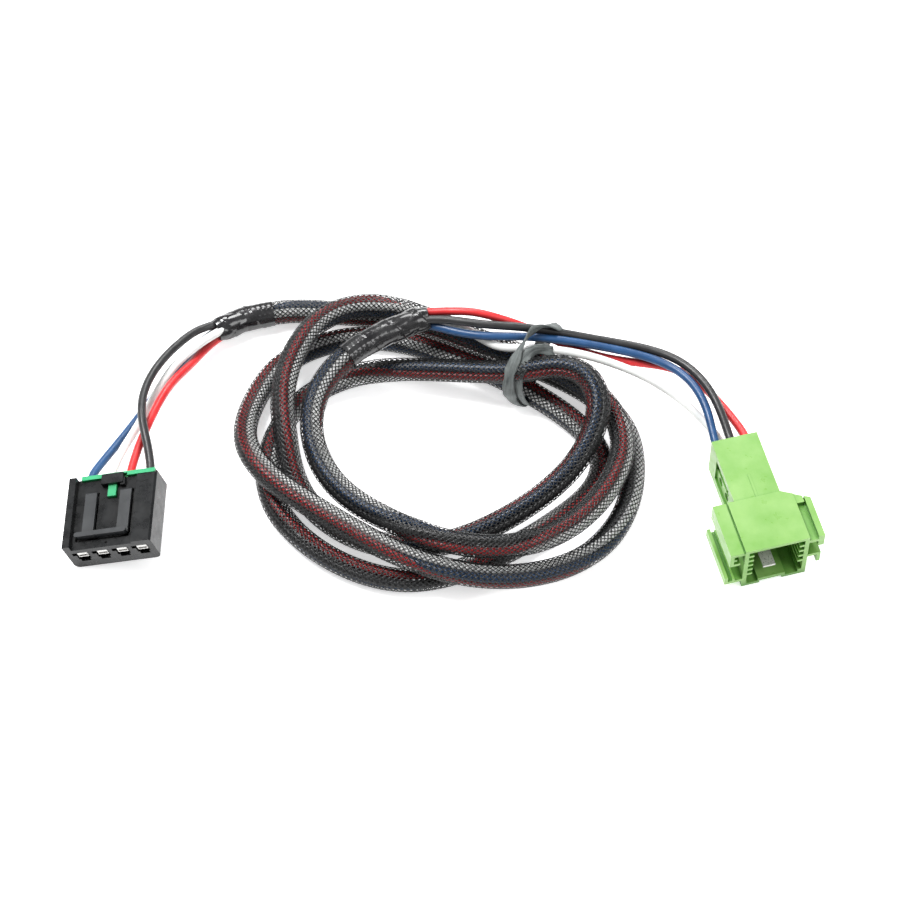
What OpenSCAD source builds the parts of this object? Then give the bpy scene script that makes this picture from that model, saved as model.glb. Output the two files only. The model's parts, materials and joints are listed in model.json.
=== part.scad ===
// Trailer brake controller wiring harness: a black four-way plug and a green
// four-blade header joined by four wires in a braided sleeve, laid in a loose coil.
// Millimetres, +Z up. The origin is on the floor, under the middle of the two connectors.

/* [Plug] */
// Width of the black plug across its four sockets
plug_w = 29.4; // [28:0.5:34]
// Length of the black plug from mating face to wire end
plug_d = 26; // [24:0.5:32]
// Height of the plug's deck above its underside
plug_deck = 10; // [9.6:0.1:11]
// Height of the rail along the plug's left edge, above the deck
plug_rail = 2.2; // [1:0.1:3]
// Spacing of the sockets
socket_pitch = 6.7; // [6.6:0.1:7]

/* [Latch] */
// Width of each latch arm
latch_arm_w = 3.9; // [2.4:0.1:4]
// Thickness of the latch arms
latch_t = 1.2; // [0.8:0.1:1.4]

/* [Header] */
// Width of the header's mouth, outside
mouth_w = 21.2; // [20:0.2:24]
// Height of the header
header_h = 20; // [19:0.5:22]
// Depth of the header's shroud
shroud_d = 19.2; // [17:0.2:24]
// Length of the header's rear block
rear_d = 23.8; // [20:0.2:30]
// Width of the header's rear block
rear_w = 15.2; // [15:0.1:18]
// Wall thickness of the shroud
wall = 1.4; // [1:0.1:2]

/* [Lead] */
// Diameter of each insulated wire
wire_d = 2.8; // [2.2:0.1:2.8]
// Diameter of the braided sleeve with its wires inside
sleeve_d = 8; // [7:0.1:8]
// Thickness of the tape wraps
tape_t = 0.7; // [0.4:0.1:0.9]
// Width of the rubber tie around the bundle
tie_w = 3; // [2:0.5:6]

/* [Hidden] */
$fn = 32;
e = 0.01;

// Where the two connectors lie: their mating faces' bottom centres and their turns
plug_at = [-102, -15.6, 4];
plug_turn = [1.5, -17, -2.5];
header_at = [105, -19.6, 0];
header_turn = [0, 0, 15];

// Sockets, counted from the left seen from the mating end
socket_z = 4.6;
socket_w = 4.2;
socket_h = 3.6;
socket_shift = 0.5;
notch_w = 1.2;
terminal_w = 3.3;
terminal_h = 2.5;
terminal_z = 0.95;
terminal_y = 0.25;
tab_slot_h = 0.9;
tab_slot_z = 0.35;
metal_t = 0.38;
neck_w = 1.4;
strand_w = 1.2;
crimp_l = 1.8;
plug_crimp = 0.7;
blade_crimp = 0.5;
box_l = 9;
crimp_y = 15;
wire_up = 1.85;
wire_z = socket_z + wire_up;
function socket_x(i) = (i - 1.5) * socket_pitch + socket_shift;

// Latch: two arms and a cross bar, hinged at the arms' rear ends
arm_l = -8.8;
arm_r = 3;
bar_y = 3.6;
bar_w = 1.7;
bar_l = -11;
bar_r = 6.6;
bar_rise = 0.9;
latch_root = 19.6;
latch_z = plug_deck + 0.1;
latch_well = 1.6;
arm_gap = 0.35;
gap = 0.3;

// Plug corners, strips and the bridge over the retainer's tongue
corner_r = 2;
rail_w = 2.4;
strip_w = 6.6;
strip_up = 0.8;
bridge = [-3.6, 3.8];
bridge_y = 22.4;
bridge_up = 2;

// Retainer of the plug: a plate across the wire end with teeth and a tongue
ret_y = 23.6;
ret_t = 3.3;
ret_l = -11;
ret_r = 14;
ret_up = 0.9;
tongue_w = 2.8;
tongue_y = 18.2;
tooth_w = 1.6;

// Header blades: [x, z, tip distance behind the mating face]
BLADES = [[-5, 14, 5], [-0.9, 7.2, 1], [0, 14, 5], [5, 14, 5]];
blade_w = 4;
blade_t = 0.8;
slot_w = 4.4;
slot_h = 3.4;
blade_play = 0.1;
mouth_l = -10;
mouth_r = mouth_l + mouth_w;
back_y = shroud_d - 2.2;
floor_t = 2.6;
groove_z = 1.2;
lid_t = 1.2;
tooth_l = 1.7;
tooth_t = 1;
flange_t = 1.2;
channel_w = 5;
channel_up = 2.6;
rear_z0 = 4.3;
rear_h = 15.2;
crimp_header_y = 33;
spacer_y = 25;
spacer_t = 3;
spacer_l = -6.6;
header_d = shroud_d + rear_d;
rib_w = 0.8;
rib_l = 9;
rib_up = 0.1;
panel_deep = 0.7;
panel_in = 5;
window_d = 3;

// Wire bundle: where each wire sits in the two-by-two pack inside the tapes
pack = 1.5;

// The sleeve's route from the plug's tape to the header's tape
ROUTE = [
    [-66, 79, 5], [-56, 82, 5], [-46, 83, 5], [-31, 82, 4], [-14, 81, 4], [-4, 78, 4], [8, 72, 5], [20, 65, 5.2],
    [39, 57, 4], [52, 48, 4], [61, 36, 4], [63, 20, 4], [60, 2, 4], [48, -15, 4.5], [27, -25, 9],
    [6, -26, 12.5], [-15, -18, 13], [-34, -5, 12.5], [-44, 2, 13], [-53, 9, 13], [-60, 17, 13],
    [-64, 28, 10], [-63, 42, 5], [-56, 59, 4], [-43, 69, 4], [-27, 73, 4], [-13, 71, 4], [-4, 68, 4],
    [7, 62, 5], [20, 56, 5.2],
    [34, 46.5, 4.5], [47, 36, 4], [54, 22, 4], [49, 10, 4], [39, 1, 4], [26, -9, 4], [6, -20, 4],
    [-12, -24, 4], [-30, -18, 4], [-44, -8, 4], [-54, 5, 4], [-57, 19, 4], [-54, 34, 4], [-46, 48, 4],
    [-30, 57, 5], [-14, 57, 8], [4, 54, 11], [20, 51, 14],
    [29, 49, 18], [38, 49.5, 21], [47.5, 46, 21.5], [52, 35, 20.5], [48.5, 23, 16], [40, 11, 12], [25, 1, 7],
    [8, -7, 4], [-8, -11, 4], [-26, -8, 4], [-40, 2, 4], [-48, 15, 5], [-50, 27, 11.5], [-52, 40, 12.8],
    [-50, 57, 12.8], [-42, 73, 13], [-28, 80, 13], [-13, 78, 13], [3, 69.5, 13.5], [20, 60.5, 13.8],
    [31, 58, 12], [44, 50.5, 11.6], [56, 39, 11.8], [60, 24, 12.3], [55, 8, 12.3], [42, -9, 13],
    [24, -18, 16], [4, -18.5, 18.2], [-16, -8, 15.8], [-33, 5, 13], [-42, 22, 13.5], [-42, 40, 17],
    [-31, 54, 20.5], [-18, 62.5, 20.7], [-8, 67, 20.7]
];
// Where the tapes end past the sleeve, on the wires
plug_tape_end = [-75, 73.5, 6];
header_tape_end = [-4, 68, 21];

// Tie: the bundle that it holds, as [across, height, radius], seen along the bundle
tie_at = [27, 57, 0];
tie_yaw = -26;

// ---- Helpers ----
function unit(v) = v / norm(v);
function turn_x(a, p) = [p[0], p[1] * cos(a) - p[2] * sin(a), p[1] * sin(a) + p[2] * cos(a)];
function turn_y(a, p) = [p[0] * cos(a) + p[2] * sin(a), p[1], -p[0] * sin(a) + p[2] * cos(a)];
function turn_z(a, p) = [p[0] * cos(a) - p[1] * sin(a), p[0] * sin(a) + p[1] * cos(a), p[2]];
function placed(p, turn, at) = at + turn_z(turn[2], turn_y(turn[1], turn_x(turn[0], p)));
function on_plug(p) = placed(p, plug_turn, plug_at);
function on_header(p) = placed(p, header_turn, header_at);

// A smooth curve that follows the points, with n steps between each pair
function past(points, i) = let (last = len(points) - 1)
    i < 0 ? 2 * points[0] - points[1]
    : i > last ? 2 * points[last] - points[last - 1] : points[i];
function spline_at(a, b, c, d, t) =
    (pow(1 - t, 3) * a + (3 * t * t * t - 6 * t * t + 4) * b
        + (3 * t * t + 3 * t - 3 * t * t * t + 1) * c + t * t * t * d) / 6;
function smooth(points, n) = [
    for (i = [0 : len(points) - 2], k = [0 : n - 1])
        spline_at(past(points, i - 1), points[i], points[i + 1], past(points, i + 2), k / n),
    points[len(points) - 1]
];
SLEEVE = smooth(ROUTE, 1);

// A ring of points round a route, square to it
function heading(points, i) = unit(past(points, i + 1) - past(points, i - 1));
function across(h) = unit(cross(h, [0, 0, 1]));
function ring(centre, h, r, sides) = [
    for (k = [0 : sides - 1])
        let (a = 360 * k / sides, s = across(h), u = cross(s, h))
            centre + r * (cos(a) * s + sin(a) * u)
];

// A solid round tube along a route
module tube(points, r, sides) {
    rings = [for (i = [0 : len(points) - 1]) each ring(points[i], heading(points, i), r, sides)];
    last = (len(points) - 1) * sides;
    walls = [
        for (i = [0 : len(points) - 2], k = [0 : sides - 1])
            let (a = i * sides, n = (k + 1) % sides)
                [a + k, a + n, a + sides + n, a + sides + k]
    ];
    start = [for (k = [sides - 1 : -1 : 0]) k];
    end = [for (k = [0 : sides - 1]) last + k];
    polyhedron(rings, concat([start], walls, [end]), convexity = 8);
}

// A hollow round tube along a route
module sheath(points, inner, outer, sides) {
    n = len(points);
    m = sides;
    rings = [
        for (i = [0 : n - 1]) each ring(points[i], heading(points, i), outer, m),
        for (i = [0 : n - 1]) each ring(points[i], heading(points, i), inner, m)
    ];
    skin = [
        for (i = [0 : n - 2], k = [0 : m - 1])
            let (a = i * m, j = (k + 1) % m) [a + k, a + j, a + m + j, a + m + k]
    ];
    bore = [for (f = skin) [for (k = [3 : -1 : 0]) f[k] + n * m]];
    near = [for (k = [0 : m - 1]) let (j = (k + 1) % m) [k, k + n * m, j + n * m, j]];
    far = [for (f = near) [for (k = [3 : -1 : 0]) f[k] + (n - 1) * m]];
    polyhedron(rings, concat(skin, bore, near, far), convexity = 8);
}

// A box given by its lowest and highest corners
module block(a, b) {
    translate(a) cube(b - a);
}

// A section drawn in X and Z, run back along Y
module along_y(y0, y1) {
    translate([0, y1, 0]) rotate([90, 0, 0]) linear_extrude(y1 - y0) children();
}

module plane_box(a, b) {
    translate(a) square(b - a);
}

module at_plug() {
    translate(plug_at) rotate(plug_turn) children();
}

module at_header() {
    translate(header_at) rotate(header_turn) children();
}

// ---- Plug ----
module plug_section() {
    half = plug_w / 2;
    plane_box([-half, corner_r], [half, plug_deck]);
    plane_box([corner_r - half, 0], [half - corner_r, corner_r + e]);
    for (s = [-1, 1]) translate([s * (half - corner_r), corner_r]) circle(corner_r);
    plane_box([-half, plug_deck - e], [rail_w - half, plug_deck + plug_rail]);
    plane_box([half - strip_w, plug_deck - e], [half - 1.2, plug_deck + strip_up]);
    polygon([
        [half - 1.3, plug_deck - e], [half, plug_deck - e], [half, plug_deck + 0.2],
        [half - 0.6, plug_deck + strip_up], [half - 1.3, plug_deck + strip_up]
    ]);
}

module plug_housing() {
    color("#1d1f21") at_plug() difference() {
        union() {
            along_y(0, plug_d) plug_section();
            block([bridge[0], bridge_y, plug_deck - e], [bridge[1], plug_d, plug_deck + bridge_up]);
            block([bridge[1] - 1, bridge_y - 0.7, plug_deck - e], [bridge[1] + 0.5, plug_d - 1.5, plug_deck + 1.5]);
        }
        for (i = [0 : 3]) translate([socket_x(i), 0, socket_z]) socket_room();
        retainer_room();
        latch_wells();
        // Moulding pip, and the rail's slanted rear corner
        translate([-0.6, 1.6, plug_deck - 0.5]) cylinder(h = 2, d = 0.8);
        translate([0.8 - plug_w / 2, plug_d + 0.2, plug_deck + 0.2]) rotate([0, 0, 45]) cube([4, 4, 8]);
    }
}

// One socket's mouth, notch and bore, and the way for the retainer's tooth
module socket_room() {
    half = socket_w / 2;
    block([-half, -1, 0], [half, plug_d + 1, socket_h]);
    block([-half - notch_w, -1, 2.2], [0, 2.4, socket_h]);
    block([-half + 0.5, -1, -1.3], [half - 0.5, 5, e]);
    block([-tooth_w / 2 - 0.2, 16, socket_h - e], [tooth_w / 2 + 0.2, ret_y + 1, socket_h + 1]);
}

module retainer_room() {
    block([ret_l - gap, ret_y - 0.2, 2], [ret_r + gap, plug_d + 1, plug_deck - 0.6]);
    translate([0, 0, plug_deck - 0.7])
        block([ret_l - gap, ret_y + 1.6, 0], [ret_r + gap, plug_d + 1, ret_up + 1]);
    translate([0, 0, plug_deck - 0.5])
        block([-tongue_w / 2 - gap, tongue_y - 0.4, 0], [tongue_w / 2 + gap, plug_d + 1, 1.6]);
}

module latch_wells() {
    z0 = latch_z - latch_well;
    for (x = [arm_l, arm_r]) translate([x, 0, z0])
        block([-arm_gap, bar_y, 0], [latch_arm_w + arm_gap, latch_root + latch_t / 2 + gap, 8]);
    translate([0, bar_y, z0]) block([bar_l - gap, -0.6, 0], [bar_r + gap, bar_w + 0.6, 8]);
}

module plug_latch() {
    color("#24272a") at_plug() {
        for (x = [arm_l, arm_r]) translate([x, 0, latch_z]) {
            block([0, bar_y + 0.5, 0], [latch_arm_w, latch_root, latch_t]);
            translate([0, latch_root, latch_t / 2]) rotate([0, 90, 0]) cylinder(h = latch_arm_w, d = latch_t);
        }
        translate([0, bar_y + bar_w / 2, latch_z]) {
            for (x = [bar_l + bar_w / 2, bar_r - bar_w / 2])
                translate([x, 0, 0]) cylinder(h = latch_t + bar_rise, d = bar_w);
            block([bar_l + bar_w / 2, -bar_w / 2, 0], [bar_r - bar_w / 2, bar_w / 2, latch_t + bar_rise]);
        }
    }
}

module plug_retainer() {
    color("#2fa866") at_plug() difference() {
        union() {
            block([ret_l, ret_y, 2.2], [ret_r, ret_y + ret_t, plug_deck - 0.8]);
            block([ret_l, ret_y + 1.8, plug_deck - 0.9], [ret_r, ret_y + ret_t, plug_deck - 0.5]);
            for (x = [[ret_l, bridge[0] - gap], [bridge[1] + 0.5 + gap, ret_r]])
                block([x[0], ret_y + 1.8, plug_deck - 0.6], [x[1], ret_y + ret_t, plug_deck + ret_up]);
            block([ret_l, plug_d + gap, plug_deck - 0.6], [ret_r, ret_y + ret_t, plug_deck + ret_up]);
            block([-tongue_w / 2, tongue_y, plug_deck - 0.4], [tongue_w / 2, ret_y + ret_t, plug_deck + 0.9]);
            for (i = [0 : 3]) translate([socket_x(i), 0, socket_z + socket_h])
                block([-tooth_w / 2, 16.6, 0.15], [tooth_w / 2, ret_y + 0.5, 0.85]);
        }
        for (i = [0 : 3]) translate([socket_x(i), ret_y - 1, wire_z]) rotate([-90, 0, 0])
            cylinder(h = ret_t + 2, d = wire_d + 0.8);
    }
}

module socket_terminal(i) {
    half = terminal_w / 2;
    color("#d9d4c8") at_plug() translate([socket_x(i), 0, socket_z]) {
        translate([0, terminal_y, terminal_z]) difference() {
            block([-half, 0, 0], [half, box_l, terminal_h]);
            block([0.2 - half, -1, tab_slot_z], [half - 0.2, box_l + 1, tab_slot_z + tab_slot_h]);
        }
        block([-neck_w / 2, terminal_y + box_l - e, terminal_z], [neck_w / 2, crimp_y - 2, terminal_z + metal_t]);
        block([-1.2, crimp_y - 4, terminal_z - 0.5], [1.2, crimp_y, terminal_z + wire_up]);
        block([-strand_w / 2, crimp_y - e, 0.02], [strand_w / 2, crimp_y + 3.4, metal_t]);
        block([-strand_w / 2, crimp_y - 2, 0.02], [strand_w / 2, crimp_y, terminal_z]);
        translate([0, crimp_y + 1.6, wire_up]) rotate([-90, 0, 0]) crimp_ring(wire_d + plug_crimp);
    }
}

module crimp_ring(d) {
    difference() {
        cylinder(h = crimp_l, d = d);
        translate([0, 0, -1]) cylinder(h = 4, d = wire_d + 0.04);
    }
}

// ---- Header ----
module header_section() {
    top = header_h;
    difference() {
        plane_box([mouth_l, 0], [mouth_r, top]);
        plane_box([mouth_l + wall, floor_t], [mouth_r - wall, top - lid_t]);
        plane_box([mouth_l + wall + 0.2, groove_z], [-4.6, floor_t + e]);
        plane_box([4.4, groove_z], [mouth_r - wall - 1.2, floor_t + e]);
        plane_box([-4, -1], [3.4, groove_z]);
    }
    // Teeth down both inner walls
    for (k = [0 : 4]) translate([mouth_l + wall - e, 6.2 + 2.5 * k]) square([tooth_l, tooth_t]);
    for (k = [0 : 3]) translate([mouth_r - wall + e - tooth_l, 7.2 + 2.8 * k]) square([tooth_l, tooth_t]);
    // Left upper channel, with a ledge below its lid, and the lower flange
    translate([mouth_l - 4.8, top - 6.8]) {
        plane_box([0, 5.2], [4.8 + e, 6.5]);
        plane_box([0, 0], [1.3, 6.4]);
        plane_box([0, 0], [3.4, flange_t]);
        plane_box([0, 2.8], [2.2, 3.6]);
    }
    translate([mouth_l - 5.9, 3.4]) {
        plane_box([0, 0], [5.9 + e, flange_t]);
        plane_box([0, 0], [1.1, 3.4]);
        plane_box([2.6, 0], [3.4, 2.2]);
    }
    // Right upper channel and rail
    translate([mouth_r, top - 5.6]) {
        plane_box([-e, channel_up], [channel_w, channel_up + flange_t]);
        plane_box([channel_w - 2, 0], [channel_w, 5.4]);
    }
    // Hooked shelf below it
    translate([mouth_r, 5.2]) {
        plane_box([-e, 3.8], [4.4, 5]);
        plane_box([3.2, 0], [4.4, 4.2]);
    }
}

module header_housing() {
    half = rear_w / 2;
    top = rear_z0 + rear_h;
    color("#8fd06a") at_header() difference() {
        union() {
            along_y(0, shroud_d) header_section();
            block([mouth_l + 0.5, back_y, 0.6], [mouth_r - 0.5, shroud_d, header_h - 0.6]);
            block([-half, shroud_d - 1, rear_z0], [half, header_d, top]);
            block([-rib_w / 2, shroud_d, top - e], [rib_w / 2, shroud_d + rib_l, top + rib_up]);
            block([-half - 3.4, shroud_d - 4, top - 1.4], [-half + 1, shroud_d, top + 0.2]);
            translate([0, 0, header_h - 5.6]) linear_extrude(5.3)
                polygon([[half - 1, shroud_d], [mouth_r + 2.6, shroud_d - 3], [mouth_r + 2.6, shroud_d - 5.6],
                         [half - 1, shroud_d - 5.6]]);
        }
        for (b = BLADES) translate([b[0], 0, b[1]]) {
            translate([0, shroud_d + 0.4, 0]) block([-slot_w, 0, -slot_h] / 2, [slot_w / 2, rear_d + 1, slot_h / 2]);
            block([-blade_w / 2 - blade_play, 2, -blade_t / 2 - blade_play],
                  [blade_w / 2 + blade_play, shroud_d + 1, blade_t / 2 + blade_play]);
        }
        // Groove beside the top plate
        block([mouth_l - 0.5, -1, header_h - 0.9], [mouth_l + 0.1, shroud_d + 1, header_h + 1]);
        // Sloped shoulder at the right rear corner
        translate([half, shroud_d, -1]) rotate([0, 0, -27.5]) cube([16, 8, header_h + 2]);
        // Recessed panel and two latch windows in the left side
        translate([-half - 1, shroud_d, rear_z0]) {
            block([0, panel_in, 3], [1 + panel_deep, rear_d - panel_in - 1, rear_h - 2.4]);
            for (y = [8, 14]) translate([0, y, 6]) rotate([0, 90, 0]) cylinder(h = 2.4, d = window_d);
        }
        // Pocket for the side spacer
        translate([0, spacer_y, rear_z0]) block([spacer_l, -0.2, 1.6], [half + 1, spacer_t + 0.2, rear_h - 1.6]);
    }
}

module header_retainer() {
    color("#c8cfc9") at_header() translate([0, spacer_y, 0]) difference() {
        block([spacer_l + gap, 0.1, rear_z0 + 1.9], [rear_w / 2, spacer_t - 0.1, rear_z0 + rear_h - 1.9]);
        for (b = BLADES) translate([b[0], 0, b[1]]) block([-2.7, -1, -1.4], [1.2, spacer_t + 1, 1.4]);
    }
}

module blade_terminal(i) {
    b = BLADES[i];
    color("#c9c8c4") at_header() translate([b[0], 0, b[1]]) {
        block([-blade_w / 2, b[2], -blade_t / 2], [blade_w / 2, shroud_d + 1.6, blade_t / 2]);
        translate([0, shroud_d, 0]) {
            block([-1.8, 1.5, -1.2], [1.8, 4.5, 1.2]);
            block([-0.9, 4, -1], [0.9, crimp_header_y - shroud_d - 3, 0.6]);
        }
        translate([0, crimp_header_y, 0]) {
            block([-1.2, -4, -1.65], [1.2, 0, 1.2]);
            block([-strand_w / 2, -e, -1.65], [strand_w / 2, 3.4, -1.42]);
            translate([0, 1.6, 0]) rotate([-90, 0, 0]) crimp_ring(wire_d + blade_crimp);
        }
    }
}

// ---- Wires ----
// A wire's place in the pack: side and lift are each -1 or 1
function packed(centre, towards, side, lift) =
    let (s = across(unit(towards))) centre + pack * (side * s + lift * [0, 0, 1]);

// Middle points of each wire, between its connector and its tape
PLUG_MID = [
    [[-108, 22, 7.5], [-102.5, 32, 6], [-97, 42, 5.2], [-91, 54, 4.8], [-84, 65, 4.5]],
    [[-103, 23, 9.6], [-98, 33, 9.5], [-93.5, 45, 9.2], [-88.5, 56, 9.8], [-81.5, 64.5, 9.4]],
    [[-97, 24, 12.4], [-94, 33, 13], [-91, 42, 12.6], [-87.5, 50.5, 10.5], [-83, 58.5, 7], [-79, 66, 4.8]],
    [[-94, 22, 14.8], [-96, 29, 16.4], [-97, 37, 16.6], [-95.5, 46, 16], [-91.5, 55.5, 14.5], [-86.5, 64, 12],
     [-81, 72, 9]]
];
PLUG_PACK = [[-1, -1], [1, 1], [1, -1], [-1, 1]];
HEADER_MID = [
    [[4, 63, 20.3], [14, 59.8, 21.8], [27, 60.6, 21.2], [40, 59.8, 20], [52, 58.8, 17.8], [65, 57, 16],
     [75, 53, 15.4], [81.5, 46.5, 15.8], [85.2, 38.5, 16], [87, 31, 15]],
    [[3, 68, 18.9], [10, 64.2, 18.8], [18, 57.8, 17.8], [27, 57, 19.6], [40, 57, 18.4], [52, 54.5, 17],
     [65, 50, 15], [74, 45, 12.8], [81, 39.5, 11], [86, 34, 9.6], [89.6, 30, 8.2]],
    [[4, 65.6, 23.2], [14, 63, 23.9], [27, 63.3, 22.6], [40, 62.7, 19.9], [52, 61.7, 17.4], [65, 60, 16.2],
     [77, 55.5, 16.4], [85, 47, 16.6], [89, 38, 17], [91.4, 31, 15.4]],
    [[4, 69, 23.4], [11, 68, 24.6], [19, 66.8, 22.6], [28, 65.5, 19.4], [40, 60.5, 16.6], [52, 57, 14],
     [65, 56, 12.4], [75, 55, 12], [83, 50, 12.2], [89.5, 41.5, 12.6], [94.5, 33.5, 13]]
];
HEADER_PACK = [[1, -1], [-1, -1], [1, 1], [-1, 1]];

function plug_wire(i) = let (
    x = socket_x(i), p = PLUG_PACK[i], d = plug_tape_end - ROUTE[0]
) concat(
    [on_plug([x, crimp_y, wire_z]), on_plug([x, plug_d, wire_z]), on_plug([x, plug_d + 4, wire_z])],
    PLUG_MID[i],
    [packed(plug_tape_end, -d, p[0], p[1]), packed(ROUTE[0], -d, p[0], p[1])]
);

function header_wire(i) = let (
    b = BLADES[i], p = HEADER_PACK[i], last = ROUTE[len(ROUTE) - 1], d = header_tape_end - last
) concat(
    [packed(last, d, p[0], p[1]), packed(header_tape_end, d, p[0], p[1])],
    HEADER_MID[i],
    [on_header([b[0], header_d + 4, b[1]]), on_header([b[0], header_d, b[1]]),
     on_header([b[0], crimp_header_y, b[1]])]
);

module plug_lead(i, tint) {
    color(tint) tube(smooth(plug_wire(i), 2), wire_d / 2, 8);
}

module header_lead(i, tint) {
    color(tint) tube(smooth(header_wire(i), 2), wire_d / 2, 8);
}

module wire_blue_plug_end() { plug_lead(0, "#375a96"); }
module wire_white_plug_end() { plug_lead(1, "#f2f2ee"); }
module wire_red_plug_end() { plug_lead(2, "#e8383b"); }
module wire_black_plug_end() { plug_lead(3, "#3c3c3a"); }
module wire_blue_header_end() { header_lead(0, "#375a96"); }
module wire_white_header_end() { header_lead(1, "#f2f2ee"); }
module wire_black_header_end() { header_lead(2, "#3c3c3a"); }
module wire_red_header_end() { header_lead(3, "#e8383b"); }

// ---- Sleeve, tapes and tie ----
module sleeve() {
    color("#232427") tube(SLEEVE, sleeve_d / 2, 10);
}

module tape_plug_end() {
    color("#101114") sheath([SLEEVE[1], SLEEVE[0], plug_tape_end],
        sleeve_d / 2 + 0.02, sleeve_d / 2 + tape_t, 20);
}

module tape_header_end() {
    n = len(ROUTE);
    color("#101114") sheath([SLEEVE[n - 3], SLEEVE[n - 2], SLEEVE[n - 1], header_tape_end],
        sleeve_d / 2 + 0.02, sleeve_d / 2 + tape_t, 20);
}

TIE_BUNDLE = [[5.4, 5.4, 4.8], [-5.2, 5.4, 4.8], [2.6, 14.4, 5], [-7, 16, 5], [5.6, 21, 3.4], [1.6, 22.6, 3.2]];

module tie() {
    color("#7d8683") translate(tie_at) rotate([0, 0, tie_yaw]) rotate([90, 0, 90])
        translate([0, 0, -tie_w / 2]) linear_extrude(tie_w) difference() {
            offset(r = 0.9) tie_inside();
            tie_inside();
        }
}

module tie_inside() {
    hull() for (b = TIE_BUNDLE) translate([b[0], b[1]]) circle(b[2]);
}

plug_housing();
plug_latch();
plug_retainer();
socket_terminal(0);  // socket_terminal_1
socket_terminal(1);  // socket_terminal_2
socket_terminal(2);  // socket_terminal_3
socket_terminal(3);  // socket_terminal_4
header_housing();
header_retainer();
blade_terminal(0);  // blade_terminal_1
blade_terminal(1);  // blade_terminal_2
blade_terminal(2);  // blade_terminal_3
blade_terminal(3);  // blade_terminal_4
wire_blue_plug_end();
wire_white_plug_end();
wire_red_plug_end();
wire_black_plug_end();
wire_blue_header_end();
wire_white_header_end();
wire_black_header_end();
wire_red_header_end();
sleeve();
tape_plug_end();
tape_header_end();
tie();
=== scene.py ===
"""Trailer brake controller wiring harness: a black four-way plug and a green blade header
joined by four wires in a braided sleeve, coiled and held by a rubber tie."""

import json
import math

import bpy
import numpy as np
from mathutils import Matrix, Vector


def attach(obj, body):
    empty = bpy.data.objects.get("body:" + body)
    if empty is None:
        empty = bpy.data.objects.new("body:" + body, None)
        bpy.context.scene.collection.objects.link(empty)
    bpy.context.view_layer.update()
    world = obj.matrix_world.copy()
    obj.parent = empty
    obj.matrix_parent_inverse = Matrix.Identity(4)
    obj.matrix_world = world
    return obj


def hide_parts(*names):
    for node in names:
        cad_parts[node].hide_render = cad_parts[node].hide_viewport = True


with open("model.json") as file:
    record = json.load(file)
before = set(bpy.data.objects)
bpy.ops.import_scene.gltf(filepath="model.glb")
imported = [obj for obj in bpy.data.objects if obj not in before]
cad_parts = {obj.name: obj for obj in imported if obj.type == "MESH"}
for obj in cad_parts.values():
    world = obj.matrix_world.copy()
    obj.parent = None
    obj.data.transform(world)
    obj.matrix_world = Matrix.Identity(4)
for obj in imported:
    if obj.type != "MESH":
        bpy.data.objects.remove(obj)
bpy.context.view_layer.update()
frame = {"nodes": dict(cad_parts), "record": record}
MM = 0.001


# ---------------------------------------------------------------- camera and light
CAMERA_AIM = Vector((0.003, 0.030, 0))
CAMERA_AWAY = 1.06
CAMERA_TILT = math.radians(56)
LENS = 130
SENSOR = 36


def place_camera():
    """The photo's view: from the front and well above, through a long lens."""
    data = bpy.data.cameras.new("camera")
    data.lens = LENS
    data.sensor_width = SENSOR
    data.clip_start = 0.05
    data.clip_end = 20
    cam = bpy.data.objects.new("camera", data)
    back = Vector((0, -math.cos(CAMERA_TILT), math.sin(CAMERA_TILT)))
    cam.location = CAMERA_AIM + CAMERA_AWAY * back
    cam.rotation_euler = (math.pi / 2 - CAMERA_TILT, 0, 0)
    bpy.context.scene.collection.objects.link(cam)
    bpy.context.scene.camera = cam


place_camera()

# ---------------------------------------------------------------- routes, in mm
WIRE_D = 2.8

# The plug: where it lies, its depth, and the pitch, sideways shift and height of its sockets
PLUG_AT = np.array([-102, -15.6, 4])
PLUG_TURN = (1.5, -17, -2.5)
PLUG_D = 26
PITCH = 6.7
SHIFT = 0.5
WIRE_Z = 6.45

# The header: where it lies, its depth, and the place of its four wires across and up
HEADER_AT = np.array([105, -19.6, 0])
HEADER_TURN = (0, 0, 15)
HEADER_D = 43
BLADES = [(-5, 14), (-0.9, 7.2), (0, 14), (5, 14)]

PLUG_ORDER = ["blue", "white", "red", "black"]
HEADER_ORDER = ["blue", "white", "black", "red"]

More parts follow.
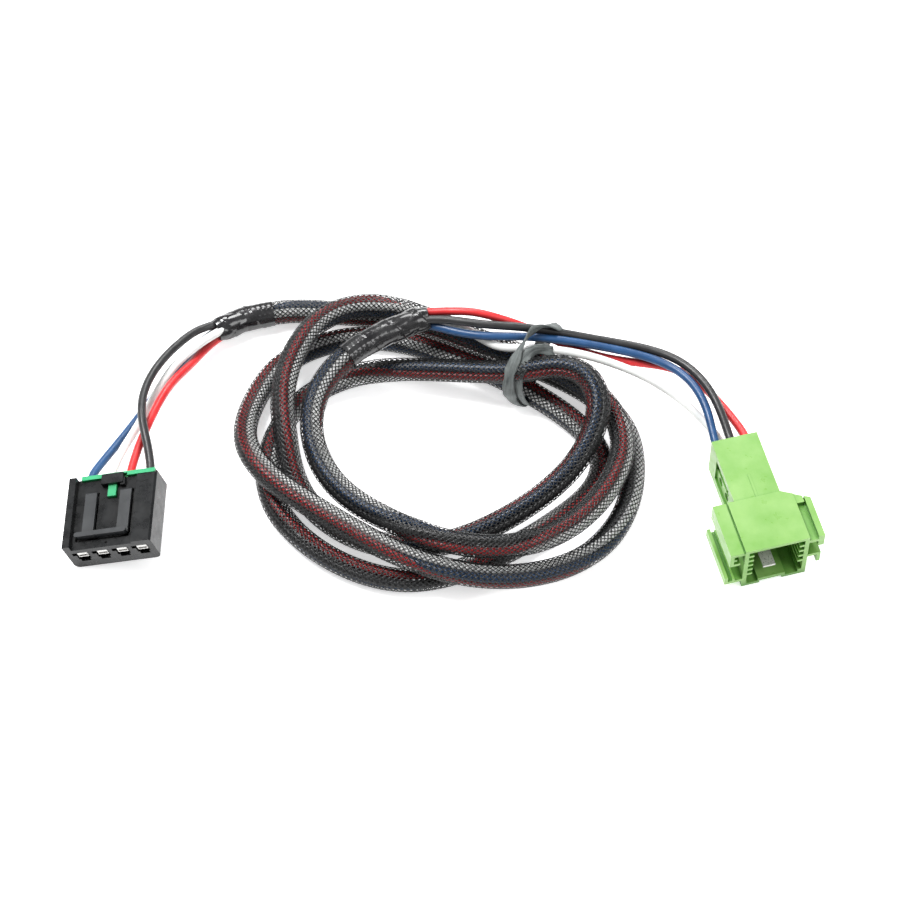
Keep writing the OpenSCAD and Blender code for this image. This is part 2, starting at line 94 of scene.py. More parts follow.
# The sleeve's middle line, from the plug's tape to the header's tape
PER_POINT = 16
ROUTE = [
    (-66, 79, 5), (-56, 82, 5), (-46, 83, 5), (-31, 82, 4), (-14, 81, 4), (-4, 78, 4), (8, 72, 5),
    (20, 65, 5.2), (39, 57, 4), (52, 48, 4), (61, 36, 4), (63, 20, 4), (60, 2, 4), (48, -15, 4.5),
    (27, -25, 9), (6, -26, 12.5), (-15, -18, 13), (-34, -5, 12.5), (-44, 2, 13), (-53, 9, 13),
    (-60, 17, 13), (-64, 28, 10), (-63, 42, 5), (-56, 59, 4), (-43, 69, 4), (-27, 73, 4),
    (-13, 71, 4), (-4, 68, 4), (7, 62, 5), (20, 56, 5.2), (34, 46.5, 4.5), (47, 36, 4),
    (54, 22, 4), (49, 10, 4), (39, 1, 4), (26, -9, 4), (6, -20, 4), (-12, -24, 4), (-30, -18, 4),
    (-44, -8, 4), (-54, 5, 4), (-57, 19, 4), (-54, 34, 4), (-46, 48, 4), (-30, 57, 5),
    (-14, 57, 8), (4, 54, 11), (20, 51, 14), (29, 49, 18), (38, 49.5, 21), (47.5, 46, 21.5),
    (52, 35, 20.5), (48.5, 23, 16), (40, 11, 12), (25, 1, 7), (8, -7, 4), (-8, -11, 4),
    (-26, -8, 4), (-40, 2, 4), (-48, 15, 5), (-50, 27, 11.5), (-52, 40, 12.8), (-50, 57, 12.8),
    (-42, 73, 13), (-28, 80, 13), (-13, 78, 13), (3, 69.5, 13.5), (20, 60.5, 13.8), (31, 58, 12),
    (44, 50.5, 11.6), (56, 39, 11.8), (60, 24, 12.3), (55, 8, 12.3), (42, -9, 13), (24, -18, 16),
    (4, -18.5, 18.2), (-16, -8, 15.8), (-33, 5, 13), (-42, 22, 13.5), (-42, 40, 17),
    (-31, 54, 20.5), (-18, 62.5, 20.7), (-8, 67, 20.7),
]

# Where the wires come out of each tape
PLUG_TAPE_END = np.array([-75, 73.5, 6])
HEADER_TAPE_END = np.array([-4, 68, 21])

# The wires' points between the housings and the tapes, and the corner of the square pack
# that each takes in the tape, across and up
PLUG_MID = {
    "blue": [
        (-108, 22, 7.5), (-102.5, 32, 6), (-97, 42, 5.2), (-91, 54, 4.8), (-84, 65, 4.5),
    ],
    "white": [
        (-103, 23, 9.6), (-98, 33, 9.5), (-93.5, 45, 9.2), (-88.5, 56, 9.8), (-81.5, 64.5, 9.4),
    ],
    "red": [
        (-97, 24, 12.4), (-94, 33, 13), (-91, 42, 12.6), (-87.5, 50.5, 10.5), (-83, 58.5, 7),
        (-79, 66, 4.8),
    ],
    "black": [
        (-94, 22, 14.8), (-96, 29, 16.4), (-97, 37, 16.6), (-95.5, 46, 16), (-91.5, 55.5, 14.5),
        (-86.5, 64, 12), (-81, 72, 9),
    ],
}
PLUG_PACK = {"blue": (-1, -1), "white": (1, 1), "red": (1, -1), "black": (-1, 1)}
HEADER_MID = {
    "blue": [
        (4, 63, 20.3), (14, 59.8, 21.8), (27, 60.6, 21.2), (40, 59.8, 20), (52, 58.8, 17.8),
        (65, 57, 16), (75, 53, 15.4), (81.5, 46.5, 15.8), (85.2, 38.5, 16), (87, 31, 15),
    ],
    "white": [
        (3, 68, 18.9), (10, 64.2, 18.8), (18, 57.8, 17.8), (27, 57, 19.6), (40, 57, 18.4),
        (52, 54.5, 17), (65, 50, 15), (74, 45, 12.8), (81, 39.5, 11), (86, 34, 9.6),
        (89.6, 30, 8.2),
    ],
    "black": [
        (4, 65.6, 23.2), (14, 63, 23.9), (27, 63.3, 22.6), (40, 62.7, 19.9), (52, 61.7, 17.4),
        (65, 60, 16.2), (77, 55.5, 16.4), (85, 47, 16.6), (89, 38, 17), (91.4, 31, 15.4),
    ],
    "red": [
        (4, 69, 23.4), (11, 68, 24.6), (19, 66.8, 22.6), (28, 65.5, 19.4), (40, 60.5, 16.6),
        (52, 57, 14), (65, 56, 12.4), (75, 55, 12), (83, 50, 12.2), (89.5, 41.5, 12.6),
        (94.5, 33.5, 13),
    ],
}
HEADER_PACK = {"blue": (1, -1), "white": (-1, -1), "black": (1, 1), "red": (-1, 1)}
PACK_R = 1.5


def turned(p, turn):
    """A point turned about X, then Y, then Z, in degrees."""
    x, y, z = p
    a, b, c = (math.radians(v) for v in turn)
    y, z = y * math.cos(a) - z * math.sin(a), y * math.sin(a) + z * math.cos(a)
    x, z = x * math.cos(b) + z * math.sin(b), -x * math.sin(b) + z * math.cos(b)
    x, y = x * math.cos(c) - y * math.sin(c), x * math.sin(c) + y * math.cos(c)
    return np.array([x, y, z])


def on_plug(colour, y):
    """The middle of a colour's wire at depth y in the plug's own frame."""
    x = (PLUG_ORDER.index(colour) - 1.5) * PITCH + SHIFT
    return PLUG_AT + turned((x, y, WIRE_Z), PLUG_TURN)


def on_header(colour, y):
    """The middle of a colour's wire at depth y in the header's own frame."""
    x, z = BLADES[HEADER_ORDER.index(colour)]
    return HEADER_AT + turned((x, y, z), HEADER_TURN)


def unit(v):
    return v / np.linalg.norm(v)


def units(rows):
    return rows / np.linalg.norm(rows, axis=1)[:, None]


def smooth(points, n):
    """The cubic B-spline that part.scad sweeps its tubes along, n steps between points."""
    p = np.array(points, float)
    p = np.vstack([2 * p[0] - p[1], p, 2 * p[-1] - p[-2]])
    out = []
    for i in range(len(p) - 3):
        for k in range(n):
            t = k / n
            out.append(((1 - t) ** 3 * p[i] + (3 * t ** 3 - 6 * t * t + 4) * p[i + 1]
                        + (3 * t * t + 3 * t - 3 * t ** 3 + 1) * p[i + 2] + t ** 3 * p[i + 3]) / 6)
    out.append(p[-2])
    return np.array(out)


def run_of(line):
    """Distance along a line at each of its points."""
    steps = np.linalg.norm(np.diff(line, axis=0), axis=1)
    return np.concatenate([[0], np.cumsum(steps)])


def at_run(line, run, s):
    return np.stack([np.interp(s, run, line[:, k]) for k in range(3)], axis=1)


def frames(line):
    """Heading, side and up vectors at each point."""
    h = units(np.gradient(line, axis=0))
    side = units(np.cross(h, [0, 0, 1]))
    return h, side, np.cross(side, h)


def packed(centre, towards, side, lift):
    """A wire's place in the square pack round a centre: side and lift are 1 or -1."""
    s = unit(np.cross(towards, [0, 0, 1]))
    return centre + PACK_R * (side * s + lift * np.array([0, 0, 1]))


SLEEVE = smooth(ROUTE, PER_POINT)
SLEEVE_RUN = run_of(SLEEVE)
SLEEVE_LEN = SLEEVE_RUN[-1]

# Where each wire lies round the sleeve's middle, at numbered points of the route: in degrees
# from the right-hand side upward, looking along the route, for blue, white, red and black
LAY = [
    (0, 225, 45, 315, 135), (2, 130, 45, 305, 220), (5, 130, 45, 305, 220),
    (8, 150, 65, 240, 330), (11, 240, 150, 330, 60), (14, 140, 55, 225, 310),
    (18, 290, 40, 125, 207), (20, 285, 35, 118, 200), (22, 295, 40, 125, 208),
    (24, 340, 85, 170, 255), (28, 300, 48, 132, 215), (35, 270, 12, 95, 180),
    (38.5, 240, 330, 60, 150), (41, 285, 28, 110, 195), (43, 290, 20, 100, 200),
    (46, 85, 285, 2, 165), (48, 85, 285, 2, 165), (51, 80, 258, 352, 165), (54, 88, 268, 5, 172),
    (60, 255, -10, 72, 155), (62, 265, 8, 90, 172), (64, 310, 50, 132, 220),
    (66, 20, 105, 285, 195), (69, 330, 245, 150, 60), (71, 275, 190, 95, 5),
    (73, 270, 180, 90, 0), (74.5, 350, 260, 170, 80), (77, 115, 30, 300, 200),
    (79, 140, 55, -30, 230), (80.5, 155, 72, -10, 252), (82, 315, 225, 135, 45),
]
LAY_R = 2.12
LAY_RUN = np.array([SLEEVE_RUN[min(int(k[0] * PER_POINT), len(SLEEVE) - 1)] for k in LAY])
LAY_REST = 0.15  # the share of each stretch, at both ends, where nothing turns
LAY_SAME = 100  # the wires keep their order if their turns differ by less, in degrees


def lay_place(colour, s):
    """A wire's place in the sleeve's section at distances s: across and up, in mm. Where the
    wires keep their order they turn together, and where they change it they cross the middle."""
    keys = np.array([k[1:] for k in LAY], float)
    c = PLUG_ORDER.index(colour)
    out = np.zeros((len(s), 2))
    for i in range(len(LAY) - 1):
        here = (s >= LAY_RUN[i]) & (s <= LAY_RUN[i + 1])
        t = (s[here] - LAY_RUN[i]) / (LAY_RUN[i + 1] - LAY_RUN[i])
        t = np.clip((t - LAY_REST) / (1 - 2 * LAY_REST), 0, 1)
        t = t * t * (3 - 2 * t)
        steps = (keys[i + 1] - keys[i] + 180) % 360 - 180
        a, b = np.radians(keys[i, c]), np.radians(keys[i + 1, c])
        if np.ptp(steps) < LAY_SAME:
            turn = a + t * np.radians(steps[c])
            out[here] = LAY_R * np.stack([np.cos(turn), np.sin(turn)], axis=1)
        else:
            first = np.array([math.cos(a), math.sin(a)])
            last = np.array([math.cos(b), math.sin(b)])
            out[here] = LAY_R * (first + t[:, None] * (last - first))
    return out


def inner_wire(colour, step=3.0):
    """A wire's line inside the sleeve."""
    s = np.arange(step, SLEEVE_LEN - step / 2, step)
    centre = at_run(SLEEVE, SLEEVE_RUN, s)
    _, side, up = frames(centre)
    place = lay_place(colour, s)
    return centre + place[:, :1] * side + place[:, 1:] * up


def wire_line(colour):
    """A wire's whole line, from inside the plug through the sleeve to inside the header."""
    first, last = np.array(ROUTE[0]), np.array(ROUTE[-1])
    away, corner = first - PLUG_TAPE_END, PLUG_PACK[colour]
    plug_end = [on_plug(colour, y) for y in (15, PLUG_D, PLUG_D + 2.5, PLUG_D + 4.5)]
    plug_end += [np.array(p) for p in PLUG_MID[colour]]
    plug_end += [packed(PLUG_TAPE_END, away, *corner), packed(first, away, *corner)]
    away, corner = HEADER_TAPE_END - last, HEADER_PACK[colour]
    header_end = [packed(last, away, *corner), packed(HEADER_TAPE_END, away, *corner)]
    header_end += [np.array(p) for p in HEADER_MID[colour]]
    header_end += [on_header(colour, y) for y in (HEADER_D + 4, HEADER_D, 33)]
    return np.vstack([smooth(plug_end, 5), inner_wire(colour), smooth(header_end, 5)])


# ---------------------------------------------------------------- building blocks
def link(obj):
    bpy.context.scene.collection.objects.link(obj)
    return obj


def mesh_piece(name, verts, faces, uvs=None, flat=False):
    """A mesh from points in mm, with one UV pair per face corner."""
    mesh = bpy.data.meshes.new(name)
    mesh.from_pydata((np.asarray(verts) * MM).tolist(), [], np.asarray(faces).tolist())
    if uvs is not None:
        layer = mesh.uv_layers.new(name="uv")
        layer.data.foreach_set("uv", np.asarray(uvs, np.float32).ravel())
    if not flat:
        mesh.polygons.foreach_set("use_smooth", [True] * len(mesh.polygons))
    mesh.update()
    return link(bpy.data.objects.new(name, mesh))


def tube_piece(name, centre, rings):
    """A tube from rings of points: rings is (points along, points round, 3), in mm."""
    n, m = rings.shape[:2]
    i, k = np.meshgrid(np.arange(n - 1), np.arange(m), indexing="ij")
    a = (i * m + k).ravel()
    b = (i * m + (k + 1) % m).ravel()
    faces = np.stack([a, b, b + m, a + m], axis=1)
    run = run_of(centre)
    u0, u1 = k.ravel() / m, (k.ravel() + 1) / m
    v0, v1 = run[i.ravel()], run[i.ravel() + 1]
    uvs = np.stack([u0, v0, u1, v0, u1, v1, u0, v1], axis=1).reshape(-1, 2)
    return mesh_piece(name, rings.reshape(-1, 3), faces, uvs)


def wire_piece(colour):
    """A wire as a round curve, and its line in metres."""
    line = wire_line(colour) * MM
    data = bpy.data.curves.new("wire_" + colour, "CURVE")
    data.dimensions = "3D"
    data.bevel_depth = WIRE_D / 2 * MM
    data.bevel_resolution = 4
    data.resolution_u = 2
    data.use_fill_caps = True
    spline = data.splines.new("POLY")
    spline.points.add(len(line) - 1)
    spline.points.foreach_set("co", np.hstack([line, np.ones((len(line), 1))]).ravel())
    spline.use_smooth = True
    obj = link(bpy.data.objects.new("wire_" + colour, data))
    return obj, line


# ---------------------------------------------------------------- braid
CARRIERS = 16
TURN_LEN = 28.6
RIBBON_W = 0.40
LIFT = 0.10  # how far a ribbon goes out over the others, and in under them
CROWN = 0.10  # how far a ribbon's middle stands above its edges
BRAID_R = 3.78
SWELL = 0.11  # the braid stands out over the four wires


def braid_half(name, hand):
    """One set of the braid's ribbons, hand is 1 or -1. They cross the other set over and under."""
    pitch = TURN_LEN / (2 * CARRIERS)
    steps = int(SLEEVE_LEN / pitch)
    s = np.arange(steps + 1) * pitch
    centre = at_run(SLEEVE, SLEEVE_RUN, s)
    _, side, up = frames(centre)
    place = lay_place("white", s)
    swell = np.arctan2(place[:, 1], place[:, 0])
    verts, faces, uvs = [], [], []
    for c in range(CARRIERS):
        angle = 2 * math.pi * (c / CARRIERS + hand * s / TURN_LEN)
        over = np.where((np.arange(steps + 1) % 2 == 0) == (hand > 0), LIFT, -LIFT)
        r = BRAID_R + SWELL * np.cos(4 * (angle - swell)) + over
        out = np.cos(angle)[:, None] * side + np.sin(angle)[:, None] * up
        mid = centre + r[:, None] * out
        wide = units(np.cross(out, units(np.gradient(mid, axis=0))))
        base = len(verts) * 3 * (steps + 1)
        edge = RIBBON_W / 2 * wide
        strip = np.stack([mid - edge, mid + CROWN * out, mid + edge], axis=1)
        verts.append(strip.reshape(-1, 3))
        for half in (0, 1):
            i = base + 3 * np.arange(steps) + half
            faces.append(np.stack([i, i + 1, i + 4, i + 3], axis=1))
            quad = np.zeros((steps, 4, 2))
            quad[:, 0::3, 0] = half / 2
            quad[:, 1:3, 0] = (half + 1) / 2
            quad[:, 0:2, 1] = s[:-1, None] / pitch
            quad[:, 2:4, 1] = s[1:, None] / pitch
            uvs.append(quad.reshape(-1, 2))
    return mesh_piece(name, np.vstack(verts), np.vstack(faces), np.vstack(uvs))


# ---------------------------------------------------------------- materials
def shader(name, colour, rough, spec=0.5):
    mat = bpy.data.materials.new(name)
    mat.use_nodes = True
    tree = mat.node_tree
    bsdf = tree.nodes["Principled BSDF"]
    bsdf.inputs["Base Color"].default_value = (*colour, 1)
    bsdf.inputs["Roughness"].default_value = rough
    bsdf.inputs["Specular IOR Level"].default_value = spec
    return mat, tree, bsdf


def node(tree, kind, **values):
    made = tree.nodes.new(kind)
    for key, value in values.items():
        if key in made.inputs:
            made.inputs[key].default_value = value
        else:
            setattr(made, key, value)
    return made


def noise(tree, where, scale, detail=3.0, rough=0.55):
    made = node(tree, "ShaderNodeTexNoise", Scale=scale, Detail=detail, Roughness=rough)
    tree.links.new(where, made.inputs["Vector"])
    return made.outputs["Fac"]


def ramp(tree, value, stops):
    made = tree.nodes.new("ShaderNodeValToRGB")
    tree.links.new(value, made.inputs["Fac"])
    band = made.color_ramp
    while len(band.elements) < len(stops):
        band.elements.new(0.5)
    for element, (place, colour) in zip(band.elements, stops):
        element.position = place
        element.color = (*colour, 1) if len(colour) == 3 else colour
    return made.outputs["Color"]


def grey(v):
    return (v, v, v)


def maths(tree, operation, a, b=None):
    made = tree.nodes.new("ShaderNodeMath")
    made.operation = operation
    for socket, value in zip(made.inputs, (a, b)):
        if value is None:
            continue
        if isinstance(value, (int, float)):
            socket.default_value = value
        else:
            tree.links.new(value, socket)
    return made.outputs[0]


def paint(tree, bsdf, socket, value, *stops):
    """A colour ramp on one of the shader's sockets."""
    tint = ramp(tree, value, stops)
    tree.links.new(tint, bsdf.inputs[socket])
    return tint


def bump(tree, bsdf, height, distance, strength=1.0, below=None):
    made = node(tree, "ShaderNodeBump", Strength=strength, Distance=distance)
    tree.links.new(height, made.inputs["Height"])
    if below is not None:
        tree.links.new(below, made.inputs["Normal"])
    tree.links.new(made.outputs["Normal"], bsdf.inputs["Normal"])
    return made.outputs["Normal"]


def object_coords(tree):
    return node(tree, "ShaderNodeTexCoord").outputs["Object"]


def painted_shade_where_close(tree, tint, dark, reach, power):
    """Painted shade: the tint, going over to a dark colour where other surfaces are within reach,
    as if shaded by them.
    """
    close = node(tree, "ShaderNodeAmbientOcclusion", Distance=reach)
    close.samples = 6
    mix = tree.nodes.new("ShaderNodeMix")
    mix.data_type = "RGBA"
    tree.links.new(maths(tree, "POWER", close.outputs["AO"], power), mix.inputs["Factor"])
    mix.inputs[6].default_value = (*dark, 1)
    tree.links.new(tint, mix.inputs[7])
    return mix.outputs[2]


def moulded(name, low, high, rough, spec=0.5):
    """Moulded plastic: slow colour drift, painted shade in corners and recesses, fine grain and
    uneven gloss.
    """
    mat, tree, bsdf = shader(name, high, rough, spec)
    where = object_coords(tree)
    tint = ramp(tree, noise(tree, where, 90, 4), [(0.3, low), (0.7, high)])
    # painted shade: the colour goes darker where other surfaces are close, in corners and recesses
    painted_corner_shade = painted_shade_where_close(tree, tint, tuple(1.6 * v ** 2 for v in low), 0.0035, 1.6)
    tree.links.new(painted_corner_shade, bsdf.inputs["Base Color"])
    paint(tree, bsdf, "Roughness", noise(tree, where, 260, 5, 0.65),
          (0.3, grey(max(0.05, rough - 0.09))), (0.75, grey(rough + 0.12)))
    first = bump(tree, bsdf, noise(tree, where, 2600, 2), 0.00002, 0.55)
    bump(tree, bsdf, noise(tree, where, 140, 2), 0.00012, 0.35, first)
    return mat


def wire_skin(name, low, high, rough, shade=0.0):
    """Extruded PVC insulation: slow colour drift, dull spots and a fine grain. With a shade
    factor it gets painted shade: it goes darker where the braid lies close."""
    mat, tree, bsdf = shader(name, high, rough)
    where = object_coords(tree)
    tint = ramp(tree, noise(tree, where, 160, 3), [(0.3, low), (0.7, high)])
    if shade:
        # painted shade: the braid's shadow on the wire, put into its colour
        tint = painted_shade_where_close(tree, tint, tuple(shade * v for v in low), 0.003, 1.5)
    tree.links.new(tint, bsdf.inputs["Base Color"])
    paint(tree, bsdf, "Roughness", noise(tree, where, 500, 4),
          (0.3, grey(rough - 0.07)), (0.7, grey(rough + 0.1)))
    bump(tree, bsdf, noise(tree, where, 1500, 3), 0.00003, 0.5)
    return mat


def tinned(name):
    """Tin plate: a half-bright metal with worn, uneven gloss."""
    mat, tree, bsdf = shader(name, (0.6, 0.6, 0.58), 0.35)
    bsdf.inputs["Metallic"].default_value = 0.45
    where = object_coords(tree)
    paint(tree, bsdf, "Base Color", noise(tree, where, 700, 4),
          (0.3, (0.56, 0.56, 0.54)), (0.7, (0.68, 0.67, 0.65)))
    paint(tree, bsdf, "Roughness", noise(tree, where, 1400, 3),
          (0.3, grey(0.22)), (0.7, grey(0.46)))
    bump(tree, bsdf, noise(tree, where, 2000, 2), 0.00001, 0.3)
    return mat


def braid_yarn(name):
    """Black monofilament: each ribbon is three side by side, so it has grooves along it."""
    mat, tree, bsdf = shader(name, (0.01, 0.01, 0.011), 0.26, 0.42)
    uv = node(tree, "ShaderNodeTexCoord").outputs["UV"]
    split = node(tree, "ShaderNodeSeparateXYZ")
    tree.links.new(uv, split.inputs[0])
    wave = maths(tree, "SINE", maths(tree, "MULTIPLY", split.outputs["X"], 3 * math.pi))
    strands = maths(tree, "ABSOLUTE", wave)
    where = object_coords(tree)
    paint(tree, bsdf, "Base Color", noise(tree, where, 420, 3),
          (0.3, (0.004, 0.0045, 0.005)), (0.75, (0.013, 0.014, 0.015)))
    paint(tree, bsdf, "Roughness", noise(tree, where, 900, 2),
          (0.3, grey(0.18)), (0.7, grey(0.36)))
    bump(tree, bsdf, strands, 0.00005, 0.6)
    return mat


def vinyl_tape(name):
    """Glossy black vinyl: slow unevenness and a fine calender grain."""
    mat, tree, bsdf = shader(name, (0.012, 0.012, 0.013), 0.22, 0.65)
    where = object_coords(tree)
    paint(tree, bsdf, "Base Color", noise(tree, where, 200, 3),
          (0.35, (0.007, 0.007, 0.008)), (0.7, (0.022, 0.022, 0.023)))
    paint(tree, bsdf, "Roughness", noise(tree, where, 240, 2),
          (0.3, grey(0.13)), (0.7, grey(0.3)))
    first = bump(tree, bsdf, noise(tree, where, 2400, 2), 0.00002, 0.25)
    bump(tree, bsdf, noise(tree, where, 110, 1), 0.0005, 0.2, first)
    return mat


def tie_rubber(name):
    """Stretched rubber strip: streaks and folds along its length, dull bloom."""
    mat, tree, bsdf = shader(name, (0.2, 0.22, 0.22), 0.6, 0.4)
    where = object_coords(tree)
    uv = node(tree, "ShaderNodeTexCoord").outputs["UV"]
    stretch = node(tree, "ShaderNodeMapping", Scale=(26, 0.16, 1))
    tree.links.new(uv, stretch.inputs["Vector"])
    streak = noise(tree, stretch.outputs["Vector"], 1, 4)
    both = maths(tree, "ADD", maths(tree, "MULTIPLY", streak, 0.6),
                 maths(tree, "MULTIPLY", noise(tree, where, 380, 4), 0.4))
    paint(tree, bsdf, "Base Color", both, (0.34, (0.06, 0.069, 0.068)), (0.66, (0.20, 0.22, 0.215)))
    paint(tree, bsdf, "Roughness", streak, (0.3, grey(0.5)), (0.7, grey(0.72)))
    first = bump(tree, bsdf, noise(tree, where, 3200, 3), 0.00005, 0.6)
    bump(tree, bsdf, streak, 0.0005, 0.7, first)
    return mat


def studio_floor(name):
    """A pale floor that shines a little by itself, so that it comes out almost white."""
    mat, tree, bsdf = shader(name, (0.93, 0.93, 0.93), 0.75, 0.2)
    where = object_coords(tree)
    tint = paint(tree, bsdf, "Base Color", noise(tree, where, 6, 2),
                 (0.3, (0.92, 0.92, 0.925)), (0.7, (0.95, 0.95, 0.95)))
    tree.links.new(tint, bsdf.inputs["Emission Color"])
    bsdf.inputs["Emission Strength"].default_value = 0.6
    return mat


# name: maker, low colour, high colour, roughness, and what else the maker takes
LOOKS = {
    "plug_black": (moulded, (0.0045, 0.005, 0.0055), (0.010, 0.011, 0.012), 0.3, 0.34),
    # the latch: the housing's black, lighter as painted light on its raised arms, and rougher for a
    # matte finish
    "latch_black": (moulded, (0.016, 0.018, 0.020), (0.030, 0.033, 0.036), 0.42),
    "retainer_green": (moulded, (0.018, 0.29, 0.115), (0.03, 0.40, 0.17), 0.42),
    "header_green": (moulded, (0.15, 0.345, 0.06), (0.235, 0.43, 0.12), 0.34),
    "spacer_white": (moulded, (0.52, 0.56, 0.5), (0.66, 0.69, 0.64), 0.45),
    "tin": (tinned,),
    # the last number of the blue and red wires is how dark their painted shade under the braid goes
    "wire_blue": (wire_skin, (0.012, 0.055, 0.15), (0.022, 0.085, 0.22), 0.34, 0.25),
    "wire_white": (wire_skin, (0.76, 0.77, 0.76), (0.87, 0.875, 0.86), 0.38),
    "wire_red": (wire_skin, (0.58, 0.018, 0.022), (0.76, 0.034, 0.036), 0.36, 0.22),
    "wire_black": (wire_skin, (0.016, 0.016, 0.017), (0.03, 0.03, 0.031), 0.38),
    "braid": (braid_yarn,),
    "tape": (vinyl_tape,),
    "tie_rubber": (tie_rubber,),
}
MAT = {name: maker(name, *values) for name, (maker, *values) in LOOKS.items()}


def wear(obj, slot, look=None):
    """A piece's material. The look is given where it isn't the one that the slot is named for."""
    data = obj.data
    data.materials.clear()
    data.materials.append(MAT[look or slot])


# ---------------------------------------------------------------- cords
def make_wires():
    """The four wires, each in one piece from the plug to the header."""
    for colour in PLUG_ORDER:
        obj, line = wire_piece(colour)
        wear(obj, "wire_" + colour)
        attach(obj, "harness")
        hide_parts(f"wire_{colour}_plug_end", f"wire_{colour}_header_end")


def make_braid():
    """The braid's two sets of ribbons, which stand for the sleeve."""
    a = braid_half("braid_right", 1)
    b = braid_half("braid_left", -1)
    for obj in (a, b):
        wear(obj, "braid")
        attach(obj, "harness")
    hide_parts("sleeve")


make_wires()
make_braid()


# ---------------------------------------------------------------- tapes
TAPE_R = 4.14
TAPE_STEP = 0.3
TAPE_ROUND = 144
TAPE_CLOSING = 5  # the length in which the tape closes down on the wires


def tape_piece(name, line, seed, wraps):
    """Vinyl tape wound in overlapping turns: each turn has an edge, and pulled wrinkles."""
    run = run_of(line)
    length = run[-1]
    s = np.linspace(0, length, int(length / TAPE_STEP))
    centre = at_run(line, run, s)
    for _ in range(6):
        centre[1:-1] = (centre[:-2] + 2 * centre[1:-1] + centre[2:]) / 4
    h, side, up = frames(centre)
    angle = np.linspace(0, 2 * math.pi, TAPE_ROUND, endpoint=False)
    cos, sin = np.cos(angle)[None, :, None], np.sin(angle)[None, :, None]
    s, angle = s[:, None], angle[None, :]
    turn = s / length * wraps + angle / (2 * math.pi)
    r = TAPE_R + 0.2 * (turn - np.floor(turn)) ** 2
    pull = np.clip(s / length * 1.5 - 0.3, 0, 1)
    crease = np.abs(np.sin(1.5 * angle + 0.30 * s + seed)) ** 0.8
    r = r + 0.42 * pull * (crease - 0.6)
    crease = np.abs(np.sin(2 * angle - 0.42 * s + 2 * seed)) ** 0.7
    r = r + 0.22 * pull * (crease - 0.6)
    # The braid shows through where the tape is tight round the sleeve
    press = np.sin(8 * angle + 1.76 * s) * np.sin(8 * angle - 1.76 * s)
    r = r + 0.07 * np.clip(press, -0.3, 1) * (1 - pull) ** 2
    closing = np.clip((s - (length - TAPE_CLOSING)) / TAPE_CLOSING, 0, 1)
    r = r - 0.75 * closing ** 2
    rings = centre[:, None, :] + r[:, :, None] * (cos * side[:, None, :] + sin * up[:, None, :])
    # The mouth turns in between the wires
    end, rim = centre[-1], rings[-1] - centre[-1]
    inner = end + 0.80 * rim - 0.8 * h[-1]
    deep = end + 0.72 * rim - 3.0 * h[-1]
    rings = np.concatenate([rings, inner[None], deep[None]])
    middle = np.vstack([centre, end - 0.8 * h[-1], end - 3 * h[-1]])
    obj = tube_piece(name, middle, rings)
    wear(obj, "tape")
    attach(obj, "harness")
    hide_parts(name.replace("_wrap", ""))


def make_tapes():
    plug_end = np.vstack([SLEEVE[PER_POINT:0:-1], SLEEVE[0], PLUG_TAPE_END])
    header_end = np.vstack([SLEEVE[-2 * PER_POINT - 1:], HEADER_TAPE_END])
    tape_piece("tape_plug_end_wrap", plug_end, 0.4, 2)
    tape_piece("tape_header_end_wrap", header_end, 2.1, 3)


make_tapes()


# ---------------------------------------------------------------- tie
TIE_W = 3.9
TIE_T = 0.9
TIE_ROUND = 36

# The strip's two turns. The first one also goes over the four wires. The roll is in degrees
# about the strip's own line, at even shares of it
FIRST_TURN = [
    (27, 52, 0.7), (27, 47.5, 0.8), (24.6, 45.6, 3.2), (22.6, 44.6, 8.5), (21.8, 44.9, 13.5),
    (22.2, 47.2, 18), (23.8, 51, 21.4), (26.4, 55.4, 23.6), (28.8, 58.8, 24.9), (31.6, 61, 25.3),
    (34.8, 62.4, 24.6), (38.1, 63.4, 22.6), (39.4, 65.6, 19.6), (37.6, 67.2, 15), (34.5, 68, 9),
    (31.5, 67.6, 3), (28.8, 62, 0.7), (27.5, 52, 0.7),
]
FIRST_ROLL = [0, 0, -8, -20, -30, 10, 60, 90, 40, 0, 0, 0, 0, 0, 0]
SECOND_TURN = [
    (28.5, 52, 0.75), (28.8, 47, 1), (27.2, 45.6, 4.4), (25.4, 44.8, 9.5), (24.9, 45.6, 15),
    (26, 48.8, 20.2), (28.3, 52.4, 22.2), (31, 54.4, 22.6), (34, 55, 21.6), (36.4, 55, 19.4),
    (37, 55.8, 16.8), (36.4, 58.8, 15.4), (35.6, 62, 12.5), (34.8, 65, 8), (33.5, 65.4, 3.5),
    (31, 63, 0.9), (29, 52, 0.75),
]
SECOND_ROLL = [0, 0, 12, 20, 10, -40, -60, -20, 10, 0, 0, 0, 0, 0]


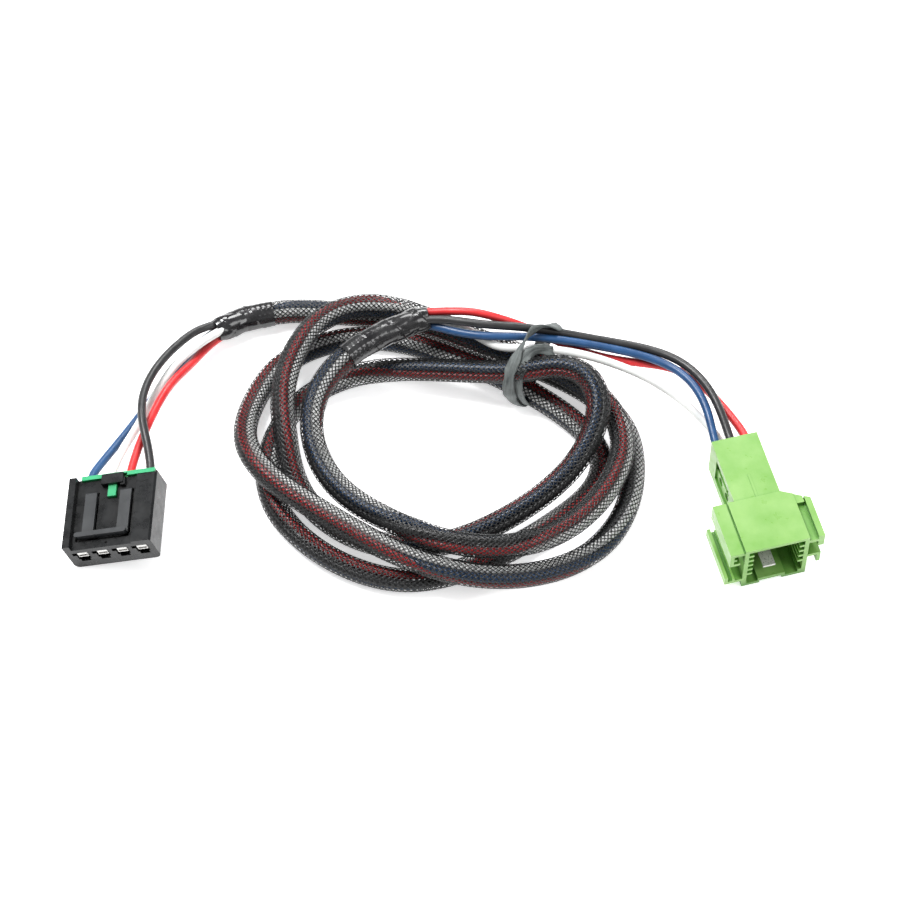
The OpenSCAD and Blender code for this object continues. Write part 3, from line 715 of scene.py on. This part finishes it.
def strap(name, points, roll):
    """A flat rubber strip along the points, rolled about its own line by the angles given."""
    line = smooth(points, 10)
    run = run_of(line)
    h = units(np.gradient(line, axis=0))
    across = np.zeros_like(h)
    last = np.array([0.9, -0.44, 0])
    for i, ahead in enumerate(h):
        last = unit(last - (last @ ahead) * ahead)
        across[i] = last
    lift = np.cross(across, h)
    share = np.linspace(0, 1, len(line))
    turn = np.radians(np.interp(share, np.linspace(0, 1, len(roll)), roll))[:, None]
    across, lift = (np.cos(turn) * across + np.sin(turn) * lift,
                    np.cos(turn) * lift - np.sin(turn) * across)
    a = np.linspace(0, 2 * math.pi, TIE_ROUND, endpoint=False)
    # A flat section with round edges, which narrows, widens and cups along the strip
    ca = (np.sign(np.cos(a)) * np.abs(np.cos(a)) ** 0.7)[None, :]
    sa = (np.sign(np.sin(a)) * np.abs(np.sin(a)) ** 0.8)[None, :]
    run = run[:, None]
    squeeze = 1 + 0.1 * np.sin(0.5 * run) + 0.06 * np.sin(1.3 * run + 1)
    cup = 0.3 * ca ** 2 * np.sin(0.33 * run + 1)
    cup = cup + 0.1 * np.sin(7 * ca + 0.4 * run) * np.sin(0.21 * run + 2)
    rings = (line[:, None, :] + (TIE_W / 2 * squeeze * ca)[:, :, None] * across[:, None, :]
             + (TIE_T / 2 * sa + cup)[:, :, None] * lift[:, None, :])
    # Each end closes on its middle
    tips = [np.repeat(ring.mean(axis=1, keepdims=True), TIE_ROUND, axis=1)
            for ring in (rings[:1], rings[-1:])]
    rings = np.concatenate([tips[0], rings, tips[1]])
    obj = tube_piece(name, np.vstack([line[0], line, line[-1]]), rings)
    wear(obj, "tie_rubber")
    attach(obj, "harness")
    return obj


def make_tie():
    a = strap("tie_first_turn", FIRST_TURN, FIRST_ROLL)
    strap("tie_second_turn", SECOND_TURN, SECOND_ROLL)
    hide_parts("tie")


make_tie()


# ---------------------------------------------------------------- carried-over CAD pieces
SOFT_EDGE = {
    "plug_housing": 0.16, "header_housing": 0.2, "plug_latch": 0.22, "plug_retainer": 0.12,
    "header_retainer": 0.12,
}
OTHER_LOOK = {"plug_latch": "latch_black"}  # its slot is plug_black; the lighter colour is painted light on the raised arms, the higher roughness a matte finish


def finish_cad():
    """Materials and slightly rounded edges on the CAD pieces that nothing replaces."""
    slots = {p["node"]: p["material_slot"] for p in frame["record"]["subparts"]}
    for name, obj in frame["nodes"].items():
        if name.startswith(("wire_", "sleeve", "tape_", "tie")):
            continue
        wear(obj, slots[name], OTHER_LOOK.get(name))
        flat = obj.modifiers.new("flat", "DECIMATE")
        flat.decimate_type = "DISSOLVE"
        flat.angle_limit = math.radians(1)
        soft = obj.modifiers.new("edge", "BEVEL")
        soft.width = SOFT_EDGE.get(name, 0.06) * MM
        soft.segments = 2
        soft.limit_method = "ANGLE"
        soft.angle_limit = math.radians(32)
        soft.harden_normals = True


finish_cad()


# ---------------------------------------------------------------- studio
FLOOR_HALF = 4000
FLOOR_Z = -0.02
LAMP_AIM = Vector((0, 0.03, 0))
LAMPS = {  # place and size in metres, power in watts
    "key": ((-0.45, 0.25, 1.1), 0.45, 17),
    "fill": ((0.8, -0.3, 0.9), 0.6, 6),
    "back": ((0.1, 1.0, 0.8), 0.45, 9),
}


def make_studio():
    a, z = FLOOR_HALF, FLOOR_Z
    painted_corner_shade = [(-a, -a, z), (a, -a, z), (a, a, z), (-a, a, z)]
    floor = mesh_piece("floor", painted_corner_shade, [(0, 1, 2, 3)], flat=True)
    floor.data.materials.append(studio_floor("floor"))
    for name, (place, size, power) in LAMPS.items():
        data = bpy.data.lights.new(name, "AREA")
        data.size = size
        data.energy = power
        lamp = link(bpy.data.objects.new(name, data))
        lamp.location = place
        lamp.rotation_euler = (LAMP_AIM - Vector(place)).to_track_quat("-Z", "Y").to_euler()
    world = bpy.data.worlds.new("studio")
    bpy.context.scene.world = world
    world.use_nodes = True
    back = world.node_tree.nodes["Background"]
    back.inputs["Color"].default_value = (1, 1, 1, 1)
    back.inputs["Strength"].default_value = 0.36
    bpy.context.scene.view_settings.view_transform = "Standard"


make_studio()
